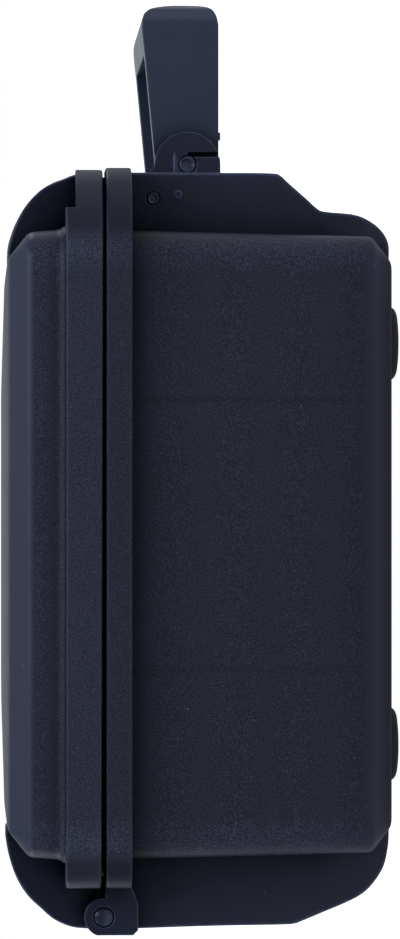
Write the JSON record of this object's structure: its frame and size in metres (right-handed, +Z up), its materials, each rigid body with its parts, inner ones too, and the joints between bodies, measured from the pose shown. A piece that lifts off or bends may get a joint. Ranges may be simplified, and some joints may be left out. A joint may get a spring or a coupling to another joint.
{
  "type": "transport case",
  "caption": "Moulded transport case with a hinged lid, toggle latches between guard wings, a swinging carry handle, a rim seal and rubber feet.",
  "frame": {"origin": "on the floor, under the middle of the whole box, handle and hinge lugs included", "axes": "+X along the length, +Y from the latches to the hinges, +Z up through the lid"},
  "size_m": [0.48, 0.4642, 0.1936],
  "materials": {
    "shell_plastic": "fine moulded grain, blue black",
    "smooth_plastic": "smooth moulded satin, blue black",
    "pin_plastic": "smooth dark coated rod",
    "seal_rubber": "matte",
    "foot_rubber": "matte"
  },
  "bodies": {
    "base": {"base_shell": "shell_plastic", "vent_gasket": "seal_rubber", "vent_body": "smooth_plastic", "vent_nut": "smooth_plastic", "vent_cap": "smooth_plastic", "lever_pin_left": "pin_plastic", "lever_pin_right": "pin_plastic", "hinge_pin_left": "pin_plastic", "hinge_pin_right": "pin_plastic", "foot_front_left": "foot_rubber", "foot_back_left": "foot_rubber", "foot_front_right": "foot_rubber", "foot_back_right": "foot_rubber"},
    "lid": {"lid_shell": "shell_plastic", "lid_seal": "seal_rubber"},
    "handle": {"carry_handle": "smooth_plastic"},
    "lever_left": {"latch_lever_left": "smooth_plastic", "hook_pin_left": "pin_plastic"},
    "lever_right": {"latch_lever_right": "smooth_plastic", "hook_pin_right": "pin_plastic"},
    "hook_left": {"latch_hook_left": "smooth_plastic"},
    "hook_right": {"latch_hook_right": "smooth_plastic"}
  },
  "joints": [
    {"name": "lid_hinge", "type": "hinge", "parent": "base", "child": "lid", "pos_m": [0, 0.2233, 0.1439], "axis": [-1, 0, 0], "range_deg": [0, 98]},
    {"name": "handle_pivot", "type": "hinge", "parent": "base", "child": "handle", "pos_m": [0, -0.1487, 0.099], "axis": [1, 0, 0], "range_deg": [-71, 107]},
    {"name": "lever_pivot_left", "type": "hinge", "parent": "base", "child": "lever_left", "pos_m": [-0.16, -0.1258, 0.1196], "axis": [-1, 0, 0], "range_deg": [0, 95]},
    {"name": "lever_pivot_right", "type": "hinge", "parent": "base", "child": "lever_right", "pos_m": [0.16, -0.1258, 0.1196], "axis": [-1, 0, 0], "range_deg": [0, 95]},
    {"name": "hook_pivot_left", "type": "hinge", "parent": "lever_left", "child": "hook_left", "pos_m": [-0.16, -0.125, 0.1086], "axis": [-1, 0, 0], "range_deg": [-95, 0]},
    {"name": "hook_pivot_right", "type": "hinge", "parent": "lever_right", "child": "hook_right", "pos_m": [0.16, -0.125, 0.1086], "axis": [-1, 0, 0], "range_deg": [-95, 0]}
  ],
  "couplings": [
    {"joint": "hook_pivot_left", "follows": "lever_pivot_left", "ratio": -1},
    {"joint": "hook_pivot_right", "follows": "lever_pivot_right", "ratio": -1}
  ]
}
